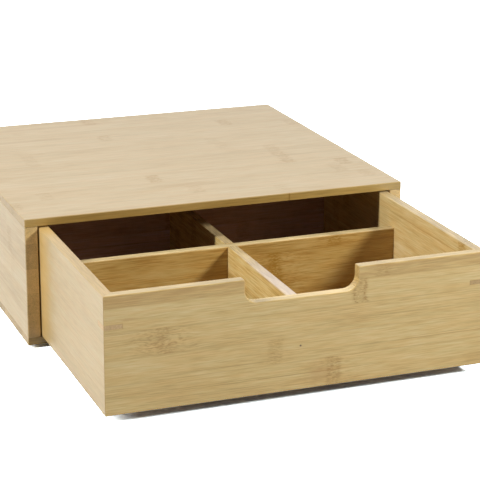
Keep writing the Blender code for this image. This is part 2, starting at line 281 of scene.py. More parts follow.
# Places from a board's left or front end, and from its front or lower edge. On the top's front edge
# a strip with a darker flank reaches to where the next one is butted on.
TOP_MARKS = (
    Mark(0.1000, 0.0, 0.3600, 0.0008, DARK_FLANK, 0.42),
    Mark(0.2130, 0.0, 0.0020, 0.0008, DARK_FLANK, 0.80),
)
FRONT_MARKS = (
    Mark(0.1427, 0.0331, 0.0022, 0.0020, SPECK, 1.0),
    Mark(0.1575, 0.0105, 0.0240, 0.0190, WARM_PATCH, 0.35),
    Mark(0.0210, 0.0800, 0.0180, 0.0035, WARM_PATCH, 0.40),
    Mark(0.0175, 0.0684, 0.0180, 0.0030, WARM_PATCH, 0.40),
)
# Painted light: a golden glow on the drawer's left wall, where it goes into the case's mouth
LEFT_WALL_GLOW_MARKS = (Mark(0.1640, 0.0500, 0.0700, 0.2000, PAINTED_MOUTH_GLOW, 0.45),)
LENGTH_MARKS = (Mark(0.0200, 0.0557, 0.2200, 0.0040, LILAC_PATCH, 0.60),)
print("marks on the front:", len(FRONT_MARKS))

# %% [markdown]
# ## Which way each board runs
# The grain of a board follows its long side, and its strips lie side by side across that. One line
# for each board gives both directions, so that every finish below can work in the board's own
# directions instead of the room's. It also gives the board's figure, which is how strongly its fibres
# and knuckles stand out.

# %% List the boards
Board = namedtuple("Board", "node along across strips edge cast figure marks end",
                   defaults=(1.0, (), END_BROWN))
X, Y, Z = 0, 1, 2  # the axes by number


def width_of(node, axis):
    """How far a node reaches along an axis."""
    low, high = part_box(node)
    return high[axis] - low[axis]


def plain_board(node, along, across, seed, edge=EDGE_PALE, cast=NO_CAST, figure=1.0, end=END_BROWN):
    """A board whose strips are sawn at random."""
    strips = sawn_strips(width_of(node, across), seed)
    return Board(node, along, across, strips, edge, cast, figure, (), end)


BOARDS = [
    Board("case_top", X, Y, TOP_STRIPS, EDGE_GOLDEN, TOP_CAST, 0.78, TOP_MARKS, END_GOLDEN),
    plain_board("case_bottom", X, Y, 11, EDGE_GOLDEN, end=END_GOLDEN),
    plain_board("case_left_side", Y, Z, 12, EDGE_PALE, CASE_LEFT_CAST, 0.8, END_PALE),
    plain_board("case_right_side", Y, Z, 13, end=END_PALE),
    plain_board("case_back", X, Z, 14),
    Board("drawer_front", X, Z, FRONT_STRIPS, EDGE_PALE, FRONT_CAST, 1.1, FRONT_MARKS),
    Board("drawer_left_side", Y, Z, LEFT_WALL_STRIPS, EDGE_WARM, SIDE_CAST, 0.75, LEFT_WALL_GLOW_MARKS),
    Board("drawer_right_side", Y, Z, RIGHT_WALL_STRIPS, EDGE_PLAIN, RIGHT_CAST, 1.2),
    # The back and the bottom get painted shade, which keeps the drawer's inside dark and purple
    plain_board("drawer_back", X, Z, 17, EDGE_PALE, PAINTED_SHADE_AUBERGINE_CAST),
    plain_board("drawer_bottom", X, Y, 18, EDGE_PALE, PAINTED_SHADE_BROWN_CAST),
    Board("cross_divider", X, Z, CROSS_STRIPS, EDGE_PALEST, CROSS_CAST, 1.8),
    Board("length_divider", Y, Z, LENGTH_STRIPS, EDGE_PLAIN, LENGTH_CAST, 2.0, LENGTH_MARKS),
]
for board in BOARDS:
    filled = sum(strip.width for strip in board.strips)
    board_width = width_of(board.node, board.across)
    print(board.node, len(board.strips), "strips, mm:", in_mm(filled), "of", in_mm(board_width))

# %% [markdown]
# ## A point's place in its board
# Bamboo fibres run through the whole thickness of a board, so the grain has to be a pattern in
# space and not a print on each face. Object coordinates give that. Shifted to the board's corner
# and reordered, their X runs along the grain, Y across it and Z through the board, in metres.

# %% Place in the board
def place_in(tree, board):
    """The shaded point's place along, across and through its board."""
    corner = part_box(board.node)[0]
    object_place = add(tree, "TexCoord").outputs["Object"]
    from_corner = add(tree, "VectorMath", {0: object_place, 1: corner}, operation="SUBTRACT")
    axes = add(tree, "SeparateXYZ", {"Vector": from_corner}).outputs
    through = 3 - board.along - board.across
    return add(tree, "CombineXYZ", {"X": axes[board.along], "Y": axes[board.across], "Z": axes[through]})


# %% [markdown]
# ## Reading the strips
# A colour ramp with hard steps works as a small table: its colour and alpha can carry four numbers
# for each strip. A chain of Less Than nodes would do the same with five times the nodes. A white
# noise of those numbers gives each strip a chance of its own, which later keeps its fibres from
# running on into the next strip. A second table holds each strip's middle and half its width, and so
# says how far a point is from the strip's seams. It also says how far the fibres bend round the
# strip's knuckle.

# %% Look up a strip
RAMP_MOST = 32  # steps that a colour ramp can hold


def table_of(tree, share, rows):
    """A node that looks up four numbers. A row is where it starts, from 0 to 1, and its numbers."""
    table = add(tree, "ValToRGB", {"Fac": share})
    ramp = table.color_ramp
    ramp.interpolation = "CONSTANT"
    ramp.elements.remove(ramp.elements[1])
    for index, (start, numbers) in enumerate(rows[:RAMP_MOST]):
        step = ramp.elements.new(start) if index else ramp.elements[0]
        step.color = numbers
    return table


def read_strip(tree, strips, place):
    """What a strip list says at this place, as a dictionary of sockets."""
    total = sum(strip.width for strip in strips)
    across = add(tree, "SeparateXYZ", {"Vector": place}).outputs["Y"]
    share = add(tree, "Math", {0: across, 1: total}, operation="DIVIDE")
    facts_rows = []
    span_rows = []
    start = 0.0
    for strip in strips:
        half = strip.width / 2
        facts_rows.append((start / total, (strip.knuckle, strip.tone, strip.internode, strip.strength)))
        span_rows.append((start / total, (start + half, half, strip.eye, 1.0)))
        start += strip.width
    table = table_of(tree, share, facts_rows)
    facts = add(tree, "SeparateColor", {"Color": table.outputs["Color"]}).outputs
    chance = add(tree, "TexWhiteNoise", {"Vector": table.outputs["Color"]})
    span = add(tree, "SeparateColor", {"Color": table_of(tree, share, span_rows)}).outputs
    off_middle = add(tree, "Math", {0: across, 1: span[0]}, operation="SUBTRACT")
    return {
        "knuckle": facts[0],
        "tone": facts[1],
        "internode": facts[2],
        "strength": table.outputs["Alpha"],
        "chance": chance.outputs["Color"],
        "off_middle": add(tree, "Math", {0: off_middle, 1: span[1]}, operation="DIVIDE").outputs[0],
        "half": span[1],
        "eye": span[2],
    }


fullest = max(len(board.strips) for board in BOARDS)
print("a table holds up to", RAMP_MOST, "strips, and the fullest board has", fullest)

# %% [markdown]
# ## Knuckles
# Where the culm had a ring, a strip shows a short browner band. A plain box has a darker line on both
# sides of it, and round an eye the fibres waver far beyond it. All three follow from one number, the
# distance along the strip to its nearest knuckle. A little noise bends it, or it would look ruled.

# %% Find the knuckles
RING_OFF = 4.2 * MM  # from the middle of the band to a dark line
# How far off each form starts to fade, and how far off it is gone
BAND_FADE = (3.5 * MM, 7.5 * MM)
RING_FADE = (0.45 * MM, 1.35 * MM)
WAVER_FADE = (5.5 * MM, 34 * MM)
BOXED_EYE = 0.2  # from this eye on, a knuckle has no dark lines
BEND = 7 * MM  # how far noise pushes a knuckle to and fro
BEND_WIDTH = 5 * MM  # of the noise, across the strip


def find_knuckles(tree, place, strip):
    """How strongly a band, a ring and wavering fibres show here, each from 0 to 1."""
    bend_place = add(tree, "Mapping", {"Vector": place, "Location": strip["chance"],
                                       "Scale": (0.0, 1 / BEND_WIDTH, 1 / BEND_WIDTH)})
    bend = add(tree, "TexNoise", {"Vector": bend_place, "Scale": 1.0, "Detail": 1.0})
    bend = add(tree, "MapRange", {"Value": bend, "To Min": -BEND / 2, "To Max": BEND / 2})
    half = add(tree, "Math", {0: strip["internode"], 1: 0.5}, operation="MULTIPLY")
    minus_half = add(tree, "Math", {0: strip["internode"], 1: -0.5}, operation="MULTIPLY")
    along = add(tree, "SeparateXYZ", {"Vector": place})
    off = add(tree, "Math", {0: along, 1: strip["knuckle"]}, operation="SUBTRACT")
    off = add(tree, "Math", {0: off, 1: half, 2: minus_half}, operation="WRAP")
    off = add(tree, "Math", {0: off, 1: bend}, operation="ADD")
    distance = add(tree, "Math", {0: off}, operation="ABSOLUTE")
    ring_off = add(tree, "Math", {0: distance, 1: RING_OFF}, operation="SUBTRACT")
    ring_distance = add(tree, "Math", {0: ring_off}, operation="ABSOLUTE")
    eye = add(tree, "Math", {0: strip["eye"], 1: strip["strength"]}, operation="MULTIPLY")
    # A plain box has its two dark lines, and an eye has next to none
    boxed = add(tree, "MapRange", {"Value": strip["eye"], "From Max": BOXED_EYE,
                                   "To Min": strip["strength"], "To Max": 0.0})
    shown = {}
    for name, measure, (full, gone), strength in (
        ("band", distance, BAND_FADE, strip["strength"]),
        ("ring", ring_distance, RING_FADE, boxed),
        ("waver", distance, WAVER_FADE, eye),
    ):
        shown[name] = add(tree, "MapRange", {"Value": measure, "From Min": full, "From Max": gone,
                                             "To Min": strength, "To Max": 0.0},
                          interpolation_type="SMOOTHSTEP")
    return shown


print("fibres waver up to", in_mm(WAVER_FADE[1]), "mm from a knuckle")

# %% [markdown]
# ## Noise along the grain
# Flat-pressed bamboo has long, straight, fine fibres with broader streaks of tone. All of that is
# noise, drawn out along the grain. Real fibres are about 0.4 mm wide. Here they are 0.8 mm, or they
# would not show at all.

# %% Draw noise along the grain
# The detail is how many finer layers lie over a pattern's first one
Pattern = namedtuple("Pattern", "length width detail")
FIBRE = Pattern(16 * MM, 0.8 * MM, 2.5)
STREAK = Pattern(130 * MM, 4.5 * MM, 2.0)
CLOUD = Pattern(45 * MM, 14 * MM, 1.0)
SWIRL = Pattern(12 * MM, 5 * MM, 2.0)
LINE = Pattern(200 * MM, 1.1 * MM, 1.0)
DASH = Pattern(5 * MM, 0.8 * MM, 1.0)
CHANCE_SPREAD = 40.0  # in pattern lengths, so that no two strips look alike


def grain_noise(tree, place, pattern, chance):
    """Noise drawn out along the grain, from 0 to 1."""
    spread = add(tree, "VectorMath", {0: chance, "Scale": CHANCE_SPREAD}, operation="SCALE")
    scale = (1 / pattern.length, 1 / pattern.width, 1 / pattern.width)
    drawn = add(tree, "Mapping", {"Vector": place, "Location": spread, "Scale": scale})
    noise = add(tree, "TexNoise", {"Vector": drawn, "Scale": 1.0, "Detail": pattern.detail})
    return noise.outputs["Fac"]


print("fibres are about", in_mm(FIBRE.length), "mm long and", in_mm(FIBRE.width), "mm wide")

# %% [markdown]
# ## Fibres round a knuckle
# Near a knuckle a point's place is pushed aside before the noise is drawn there, so the fibres part
# round it like the lids of an eye, and short dark dashes break them up. The lightness of the wood is
# the strip's own tone with all these patterns added.

# %% Grow the fibres
ASIDE = 6 * MM  # how far a knuckle pushes the fibres to and fro
EYE = 5 * MM  # it also pushes them apart, by up to 0.38 of this to each side
FIBRE_SHARE = 1.15  # how much of the range from brown to pale each pattern covers
STREAK_SHARE = 0.50
CLOUD_SHARE = 0.45
LINE_SHARE = -0.45  # a few long fibres are darker than the rest
DASH_SHARE = -0.60
# Where in its noise a line or a dash starts to show, and where it is full
LINE_LEVELS = {"From Min": 0.66, "From Max": 0.76}
DASH_LEVELS = {"From Min": 0.50, "From Max": 0.66}


def part_round(tree, place, strip, waver):
    """The place, pushed so that fibres drawn there part round a knuckle and waver."""
    swirl = grain_noise(tree, place, SWIRL, strip["chance"])
    aside = add(tree, "MapRange", {"Value": swirl, "To Min": -ASIDE / 2, "To Max": ASIDE / 2})
    # x times 1 minus x squared: nothing at the middle and at the seams, most in between
    squared = add(tree, "Math", {0: strip["off_middle"], 1: 2.0}, operation="POWER")
    bow = add(tree, "Math", {0: 1.0, 1: squared}, operation="SUBTRACT")
    bow = add(tree, "Math", {0: bow, 1: strip["off_middle"]}, operation="MULTIPLY")
    aside = add(tree, "Math", {0: bow, 1: -EYE, 2: aside}, operation="MULTIPLY_ADD")
    aside = add(tree, "Math", {0: aside, 1: waver}, operation="MULTIPLY")
    aside = add(tree, "CombineXYZ", {"Y": aside})
    return add(tree, "VectorMath", {0: place, 1: aside}, operation="ADD")


def grow_fibres(tree, place, strip, knuckle, figure):
    """The fibre pattern itself, and the lightness of the wood, where 0.5 is the average."""
    pushed = part_round(tree, place, strip, knuckle["waver"])
    fibres = grain_noise(tree, pushed, FIBRE, strip["chance"])
    light = strip["tone"]
    for noise, share in (
        (fibres, FIBRE_SHARE),
        (grain_noise(tree, pushed, STREAK, strip["chance"]), STREAK_SHARE),
        (grain_noise(tree, place, CLOUD, strip["chance"]), CLOUD_SHARE),
    ):
        half = share * figure / 2
        weighed = add(tree, "MapRange", {"Value": noise, "To Min": -half, "To Max": half})
        light = add(tree, "Math", {0: light, 1: weighed}, operation="ADD")
    lines = grain_noise(tree, place, LINE, strip["chance"])
    lines = add(tree, "MapRange", {"Value": lines, **LINE_LEVELS})
    light = add(tree, "Math", {0: lines, 1: LINE_SHARE * figure, 2: light}, operation="MULTIPLY_ADD")
    dashes = grain_noise(tree, pushed, DASH, strip["chance"])
    dashes = add(tree, "MapRange", {"Value": dashes, **DASH_LEVELS})
    reach = add(tree, "Math", {0: knuckle["waver"], 1: knuckle["band"]}, operation="MAXIMUM")
    dashes = add(tree, "Math", {0: dashes, 1: reach}, operation="MULTIPLY")
    light = add(tree, "Math", {0: dashes, 1: DASH_SHARE * figure, 2: light}, operation="MULTIPLY_ADD")
    return fibres, light


print("swirls round a knuckle are about", in_mm(SWIRL.length), "mm long")

# %% [markdown]
# ## Ends, edges, seams and marks
# Sawn ends soak up lacquer and take their own colour, and planed long edges take that of the strip's
# flank. Which way a face looks tells both from the broad faces. The fibres streak them too. A hair of
# glue darkens the seam between two strips, more in some places than in others.

# %% Helpers for the wood's colour
# How squarely a face must look along an axis to count as an end or an edge
FACING = {"From Min": 0.6, "From Max": 0.9}
END_SHARE = 0.85
EDGE_SHARE = 0.85
EDGE_STREAKS = 0.45  # how much lighter or darker the fibres make an end or a long edge
SEAM_HALF = 0.3 * MM  # of the glue between two strips, drawn wider than it is
MARK_CORE = 0.2  # of a mark's reach, within which it has its full share


def streaked(tree, light, colour):
    """A plain colour that the fibres make lighter and darker."""
    level = add(tree, "MapRange", {"Value": light, "To Min": 1 - EDGE_STREAKS,
                                   "To Max": 1 + EDGE_STREAKS})
    return add(tree, "VectorMath", {0: colour[:3], "Scale": level}, operation="SCALE")


def mix_facing(tree, colour, axis, share, other):
    """Mixes another colour in where the face looks along an axis."""
    normal = add(tree, "NewGeometry").outputs["Normal"]
    square = add(tree, "SeparateXYZ", {"Vector": normal}).outputs[axis]
    square = add(tree, "Math", {0: square}, operation="ABSOLUTE")
    amount = add(tree, "MapRange", {"Value": square, "To Max": share, **FACING},
                 interpolation_type="SMOOTHSTEP")
    return add(tree, "Mix", {FACTOR: amount, UNDER: colour, OVER: other}, data_type="RGBA")


def find_seams(tree, strip):
    """Where the seams between strips show, from 0 to 1. Some show more than others."""
    from_seam = add(tree, "Math", {0: strip["off_middle"]}, operation="ABSOLUTE")
    from_seam = add(tree, "Math", {0: from_seam, 1: 1.0}, operation="SUBTRACT")
    from_seam = add(tree, "Math", {0: from_seam, 1: strip["half"]}, operation="MULTIPLY")
    from_seam = add(tree, "Math", {0: from_seam}, operation="ABSOLUTE")
    chance = add(tree, "SeparateColor", {"Color": strip["chance"]})
    return add(tree, "MapRange", {"Value": from_seam, "From Min": SEAM_HALF / 2,
                                  "From Max": SEAM_HALF * 2, "To Min": chance, "To Max": 0.0})


def lay_mark(tree, place, colour, mark):
    """Mixes a soft oval of another colour over the wood, through the whole board."""
    middle = (mark.along, mark.across, 0.0)
    off = add(tree, "VectorMath", {0: place, 1: middle}, operation="SUBTRACT")
    oval = (2 / mark.length, 2 / mark.width, 0.0)
    off = add(tree, "VectorMath", {0: off, 1: oval}, operation="MULTIPLY")
    off = add(tree, "VectorMath", {0: off}, operation="LENGTH")
    amount = add(tree, "MapRange", {"Value": off, "From Min": MARK_CORE, "From Max": 1.0,
                                    "To Min": mark.share, "To Max": 0.0},
                 interpolation_type="SMOOTHSTEP")
    return add(tree, "Mix", {FACTOR: amount, UNDER: colour, OVER: mark.colour}, data_type="RGBA")


print("a seam between strips is drawn", in_mm(2 * SEAM_HALF), "mm wide")

# %% [markdown]
# ## The colour of the wood
# A ramp turns the lightness into bamboo's colours, from the brown between fibres to a pale straw,
# and drawn-out patches lean towards khaki or towards a warm yellow. Knuckles are laid over it,
# broken up by short flecks, and after them the seams, the ends, the edges and the marks.

# %% Colour the wood
BROWN = linear("B39055")
GOLDEN = linear("CBAD71")
PALE = linear("D8BF8C")
WOOD_TONES = ((0.05, BROWN), (0.50, GOLDEN), (0.95, PALE))  # each after its lightness
KHAKI_CAST = (0.99, 1.01, 1.03)
WARM_CAST = (1.02, 0.98, 0.94)
KNUCKLE_BROWN = linear("A0762A")
BLUSH = Pattern(36 * MM, 4 * MM, 2.0)
BLUSH_LEVELS = {"From Min": 0.35, "From Max": 0.65}
FLECK = Pattern(2.2 * MM, 0.8 * MM, 1.0)
FLECK_LEVELS = {"From Min": 0.42, "From Max": 0.60, "To Min": 0.2}  # some brown is left between flecks
BAND_SHARE = 0.50  # how much of the knuckle's brown its band and its ring take on
RING_SHARE = 0.40
SEAM_SHARE = 0.30


def two_casts(first, second):
    """One cast over another, as a colour."""
    return [a * b for a, b in zip(first, second)] + [1.0]


def colour_wood(tree, board, place, strip, knuckle, light):
    """The wood's colour, and how dark a knuckle makes it, from 0 to 1."""
    wood = add(tree, "ValToRGB", {"Fac": light})
    wood.color_ramp.elements.new(0.5)  # a ramp comes with two steps, and these are three tones
    for step, (position, tone) in zip(wood.color_ramp.elements, WOOD_TONES):
        step.position = position
        step.color = tone
    blush = grain_noise(tree, place, BLUSH, strip["chance"])
    blush = add(tree, "MapRange", {"Value": blush, **BLUSH_LEVELS})
    tint = add(tree, "Mix", {FACTOR: blush, UNDER: two_casts(KHAKI_CAST, board.cast),
                             OVER: two_casts(WARM_CAST, board.cast)}, data_type="RGBA")
    wood = add(tree, "Mix", {FACTOR: 1.0, UNDER: wood, OVER: tint}, data_type="RGBA",
               blend_type="MULTIPLY")
    flecks = grain_noise(tree, place, FLECK, strip["chance"])
    flecked = add(tree, "MapRange", {"Value": flecks, **FLECK_LEVELS})
    band = add(tree, "Math", {0: knuckle["band"], 1: BAND_SHARE}, operation="MULTIPLY")
    dark = add(tree, "Math", {0: knuckle["ring"], 1: RING_SHARE, 2: band}, operation="MULTIPLY_ADD")
    dark = add(tree, "Math", {0: dark, 1: flecked}, operation="MULTIPLY")
    dark = add(tree, "Math", {0: dark, 1: board.figure}, operation="MULTIPLY")
    seams = find_seams(tree, strip)
    dark = add(tree, "Math", {0: seams, 1: SEAM_SHARE, 2: dark}, operation="MULTIPLY_ADD")
    colour = add(tree, "Mix", {FACTOR: dark, UNDER: wood, OVER: KNUCKLE_BROWN}, data_type="RGBA")
    colour = mix_facing(tree, colour, board.along, END_SHARE, streaked(tree, light, board.end))
    colour = mix_facing(tree, colour, board.across, EDGE_SHARE, streaked(tree, light, board.edge))
    for mark in board.marks:
        colour = lay_mark(tree, place, colour, mark)
    return colour, dark


print("the palest wood, in linear light:", [round(value, 3) for value in PALE])

# %% [markdown]
# ## Lacquered bamboo
# The boards are sanded and sprayed with a thin matt lacquer. It fills the pores, so what gives the
# pale sheen at a low angle is the lacquer and not the wood: the coat is full, and the specular
# level beneath it is nil. The fibres stay as a faint relief, and take a little gloss away.

# %% Finish the boards
LACQUER = {
    "Specular IOR Level": 0.0,
    "Coat Weight": 1.0,
    "Coat Roughness": 0.32,
    "Coat IOR": 1.6,
}
RELIEF_DEPTH = 0.08 * MM
RELIEF_STRENGTH = 0.25
KNUCKLE_RELIEF = -0.4  # a knuckle sinks a little below the fibres
# From between fibres to on them: the fibres' noise, and how rough the wood is
WOOD_ROUGHNESS = {"From Min": 0.3, "From Max": 0.7, "To Min": 0.50, "To Max": 0.40}


def bamboo(board):
    """The finish of one board."""
    material, tree = new_material("flat_pressed_bamboo_" + board.node)
    place = place_in(tree, board)
    strip = read_strip(tree, board.strips, place)
    knuckle = find_knuckles(tree, place, strip)
    fibres, light = grow_fibres(tree, place, strip, knuckle, board.figure)
    colour, dark = colour_wood(tree, board, place, strip, knuckle, light)
    relief = add(tree, "Math", {0: dark, 1: KNUCKLE_RELIEF, 2: fibres}, operation="MULTIPLY_ADD")
    bump = add(tree, "Bump", {"Strength": RELIEF_STRENGTH, "Distance": RELIEF_DEPTH, "Height": relief})
    roughness = add(tree, "MapRange", {"Value": fibres, **WOOD_ROUGHNESS})
    shader = add(tree, "BsdfPrincipled", {"Base Color": colour, "Roughness": roughness, "Normal": bump,
                                          **LACQUER})
    add(tree, "OutputMaterial", {"Surface": shader})
    return material


def finish(piece, material):
    """Gives a measured piece its finish."""
    piece.data.materials.clear()
    piece.data.materials.append(material)


for board in BOARDS:
    finish(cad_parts[board.node], bamboo(board))
print(len(BOARDS), "boards have their grain")

# %% [markdown]
# ## Mitre keys
# A thin slip of bamboo is glued into a saw cut across each corner of the drawer and sanded flush.
# Its fibres run across the corner, so both faces show it half as end grain: fine pores instead of
# long fibres, a little greyer than the boards around it. The keys are sawn from offcuts, and the one
# at the front on the right happens to be darker than the rest.

# %% Finish the mitre keys
PORE = 0.9 * MM
PORE_LEVELS = (0.25, 0.75)  # of the dark and the light tone, in the pores' noise
KEY_ROUGHNESS = {"To Min": 0.55, "To Max": 0.42}
KEY_TONES = {
    "mitre_key_front_left": (linear("BC9864"), linear("D2B07A")),
    "mitre_key_front_right": (linear("A38450"), linear("C4A26A")),
    "mitre_key_rear_left": (linear("AF9066"), linear("CDAF82")),
    "mitre_key_rear_right": (linear("B8966A"), linear("D2B284")),
}


def even_noise(tree, size, detail):
    """Noise of one size in all directions, all through a piece."""
    place = add(tree, "TexCoord").outputs["Object"]
    return add(tree, "TexNoise", {"Vector": place, "Scale": 1 / size, "Detail": detail})


def key_bamboo(name, dark, light):
    """Plain bamboo that shows its pores, between a dark and a light tone."""
    material, tree = new_material("cross_grain_bamboo_" + name)
    pores = even_noise(tree, PORE, detail=2.0)
    wood = add(tree, "ValToRGB", {"Fac": pores})
    for step, position, colour in zip(wood.color_ramp.elements, PORE_LEVELS, (dark, light)):
        step.position = position
        step.color = colour
    bump = add(tree, "Bump", {"Strength": RELIEF_STRENGTH, "Distance": RELIEF_DEPTH, "Height": pores})
    roughness = add(tree, "MapRange", {"Value": pores, **KEY_ROUGHNESS})
    shader = add(tree, "BsdfPrincipled", {"Base Color": wood, "Roughness": roughness, "Normal": bump,
                                          **LACQUER})
    add(tree, "OutputMaterial", {"Surface": shader})
    return material


for name, (dark, light) in KEY_TONES.items():
    finish(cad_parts[name], key_bamboo(name, dark, light))
print("finished:", list(KEY_TONES))

# %% [markdown]
# ## Feet
# Four thin rubber pads keep the case from sliding. Moulded rubber is nearly black and quite dull,
# with a faint leathery skin.

# %% Finish the feet
SKIN = 0.5 * MM
SKIN_DEPTH = 0.03 * MM
SKIN_STRENGTH = 0.3
RUBBER_ROUGHNESS = {"To Min": 0.70, "To Max": 0.85}
RUBBER_DARK = linear("2A2A2B")
RUBBER_WORN = linear("3A3A3A")


def moulded_rubber():
    """Dark grey rubber with a fine skin."""
    material, tree = new_material("moulded_rubber")
    skin = even_noise(tree, SKIN, detail=3.0)
    tint = add(tree, "Mix", {FACTOR: skin, UNDER: RUBBER_DARK, OVER: RUBBER_WORN}, data_type="RGBA")
    bump = add(tree, "Bump", {"Strength": SKIN_STRENGTH, "Distance": SKIN_DEPTH, "Height": skin})
    roughness = add(tree, "MapRange", {"Value": skin, **RUBBER_ROUGHNESS})
    shader = add(tree, "BsdfPrincipled", {"Base Color": tint, "Roughness": roughness, "Normal": bump})
    add(tree, "OutputMaterial", {"Surface": shader})
    return material


FOOT_FINISH = moulded_rubber()
feet = [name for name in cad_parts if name.startswith("foot")]
for name in feet:
    finish(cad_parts[name], FOOT_FINISH)
print("finished:", feet)

# %% [markdown]
# ## Dried glue
# Every seam of the case and the drawer is glued, and the squeezed-out glue is wiped and sanded off,
# so a thin amber line stays in the seam just below the surface. The measured boards leave 0.3 mm
# between them for it. Painting the line onto the boards would leave the slit open behind it, so the
# glue is a thin solid in each seam instead. It dries amber, and a little shinier than the wood.

# %% Mix the glue
GLUE_DARK = linear("C4A062")
GLUE_LIGHT = linear("DAB87C")
GLUE_BEAD = 4 * MM  # the film is thicker in some places than in others
GLUE_ROUGHNESS = {"To Min": 0.25, "To Max": 0.40}


def dried_glue():
    """Amber wood glue, thicker here and there."""
    material, tree = new_material("dried_wood_glue")
    bead = even_noise(tree, GLUE_BEAD, detail=2.0)
    tint = add(tree, "Mix", {FACTOR: bead, UNDER: GLUE_DARK, OVER: GLUE_LIGHT}, data_type="RGBA")
    roughness = add(tree, "MapRange", {"Value": bead, **GLUE_ROUGHNESS})
    shader = add(tree, "BsdfPrincipled", {"Base Color": tint, "Roughness": roughness})
    add(tree, "OutputMaterial", {"Surface": shader})
    return material


GLUE_FINISH = dried_glue()
print("the glue changes its tone about every", in_mm(GLUE_BEAD), "mm")

# %% [markdown]
# ## A film of glue
# A film is a box with two corners given, a hair thinner than its seam so that no two faces fall
# together. All films of one body go into one mesh. A film at a corner of the drawer is first made
# along X and then turned onto the corner's diagonal.

# %% Helpers for glue
SEAM = 0.3 * MM  # between glued boards
AIR = 0.02 * MM  # left on each side of a film
SET_BACK = 0.04 * MM  # from the surface of the wood


def film(shape, low, high):
    """A box between two corners. Returns its vertices."""
    made = bmesh.ops.create_cube(shape, size=1.0)["verts"]
    bmesh.ops.scale(shape, vec=Vector(high) - Vector(low), verts=made)
    bmesh.ops.translate(shape, vec=(Vector(low) + Vector(high)) / 2, verts=made)
    return made


def new_piece(name, shape, material):
    """Makes a finished shape an object of the scene."""
    mesh = bpy.data.meshes.new(name)
    shape.to_mesh(mesh)
    shape.free()
    mesh.materials.append(material)
    piece = bpy.data.objects.new(name, mesh)
    bpy.context.scene.collection.objects.link(piece)
    print(name, "has", len(mesh.polygons), "faces")
    return piece


def glue_piece(name, shape, body):
    """Makes the films one piece that rides on a body."""
    bmesh.ops.recalc_face_normals(shape, faces=shape.faces)
    piece = new_piece(name, shape, GLUE_FINISH)
    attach(piece, body)


print("a film of glue is", in_mm(SEAM - 2 * AIR), "mm thick")

# %% [markdown]
# ## Glue in the case
# The top and bottom boards lie on the sides and on the back. A tongue on each side fills the middle
# of its seam, so the film there is a frame around it: a rectangle, inset, with its middle taken
# out and then made thick. The back's seams are plain films.

# %% Glue the case
TONGUE_MARGIN = 2.5 * MM  # width of the frame of glue around a tongue
BACK_LET_IN = 5 * MM  # how far the back reaches into the sides


def framed_film(shape, low, high):
    """A flat frame of glue with the given outer corners, open in the middle."""
    width, depth = high[0] - low[0], high[1] - low[1]
    made = bmesh.ops.create_grid(shape, x_segments=1, y_segments=1, size=0.5)["verts"]
    bmesh.ops.scale(shape, vec=(width, depth, 1.0), verts=made)
    bmesh.ops.translate(shape, vec=(low[0] + width / 2, low[1] + depth / 2, low[2]), verts=made)
    middle = made[0].link_faces[0]
    inset = bmesh.ops.inset_region(shape, faces=[middle], thickness=TONGUE_MARGIN, use_even_offset=True)
    rim = inset["faces"]
    bmesh.ops.delete(shape, geom=[middle], context="FACES_ONLY")
    raised = bmesh.ops.extrude_face_region(shape, geom=rim, use_keep_orig=True)["geom"]
    corners = [part for part in raised if isinstance(part, bmesh.types.BMVert)]
    bmesh.ops.translate(shape, vec=(0, 0, high[2] - low[2]), verts=corners)


case_low, case_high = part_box("case_top")
case_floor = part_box("case_bottom")[1].z
case_ceiling = case_low.z
back_low, back_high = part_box("case_back")
films = bmesh.new()
for seam_low in (case_floor, case_ceiling - SEAM):
    bottom = seam_low + AIR
    top = seam_low + SEAM - AIR
    for side in ("case_left_side", "case_right_side"):
        side_low, side_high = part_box(side)
        framed_film(films, (side_low.x + SET_BACK, case_low.y + SET_BACK, bottom),
                    (side_high.x - SET_BACK, case_high.y - SET_BACK, top))
    film(films, (back_low.x + BACK_LET_IN + AIR, back_low.y + SET_BACK, bottom),
         (back_high.x - BACK_LET_IN - AIR, back_high.y - SET_BACK, top))
for hand, edge in ((-1, back_low.x), (1, back_high.x)):
    beside = sorted((edge + hand * AIR, edge + hand * (SEAM - AIR)))
    before = sorted((edge, edge - hand * (BACK_LET_IN - SET_BACK)))
    film(films, (beside[0], back_low.y, back_low.z + AIR),
         (beside[1], back_high.y - SET_BACK, back_high.z - AIR))
    film(films, (before[0], back_low.y - SEAM + AIR, back_low.z + AIR),
         (before[1], back_low.y - AIR, back_high.z - AIR))
glue_piece("case_glue_lines", films, "case")

# %% [markdown]
# ## The drawer's corners
# The walls are mitred, and a key crosses each mitre. Places there are best given along the mitre's
# diagonal, from the outer corner inwards, and all of them follow from the boards' measured boxes.

# %% Measure the corners
WALL = width_of("drawer_front", Y)
PANEL_LET_IN = 4 * MM
CORNER_EASE = 0.4 * MM  # lost from the corner's diagonal where it is sanded
ROOT_2 = math.sqrt(2)
KEY_SET_BACK = 0.10 * MM

# The eased ends of the front and back stop short of the corners that the side walls reach
front_low, front_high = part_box("drawer_front")
drawer_low = Vector((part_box("drawer_left_side")[0].x, front_low.y, front_low.z))
drawer_high = Vector((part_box("drawer_right_side")[1].x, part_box("drawer_back")[1].y, front_high.z))
key_low, key_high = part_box("mitre_key_front_left")
key_depth = (key_high.x - key_low.x) / ROOT_2
panel_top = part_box("drawer_bottom")[1].z
inner = WALL * ROOT_2 - SET_BACK
outer = CORNER_EASE + SET_BACK
panel_corner = (WALL - PANEL_LET_IN) * ROOT_2
print("a key reaches", in_mm(key_depth), "mm of", in_mm(WALL * ROOT_2), "mm inwards")

# %% [markdown]
# ## A film on a key
# The films on and under a key have three corners. Such a film starts as a circle of three segments,
# which is a triangle. Its height and half its width become the depth of the key, and it is turned so
# that it points at the corner, and made thick.

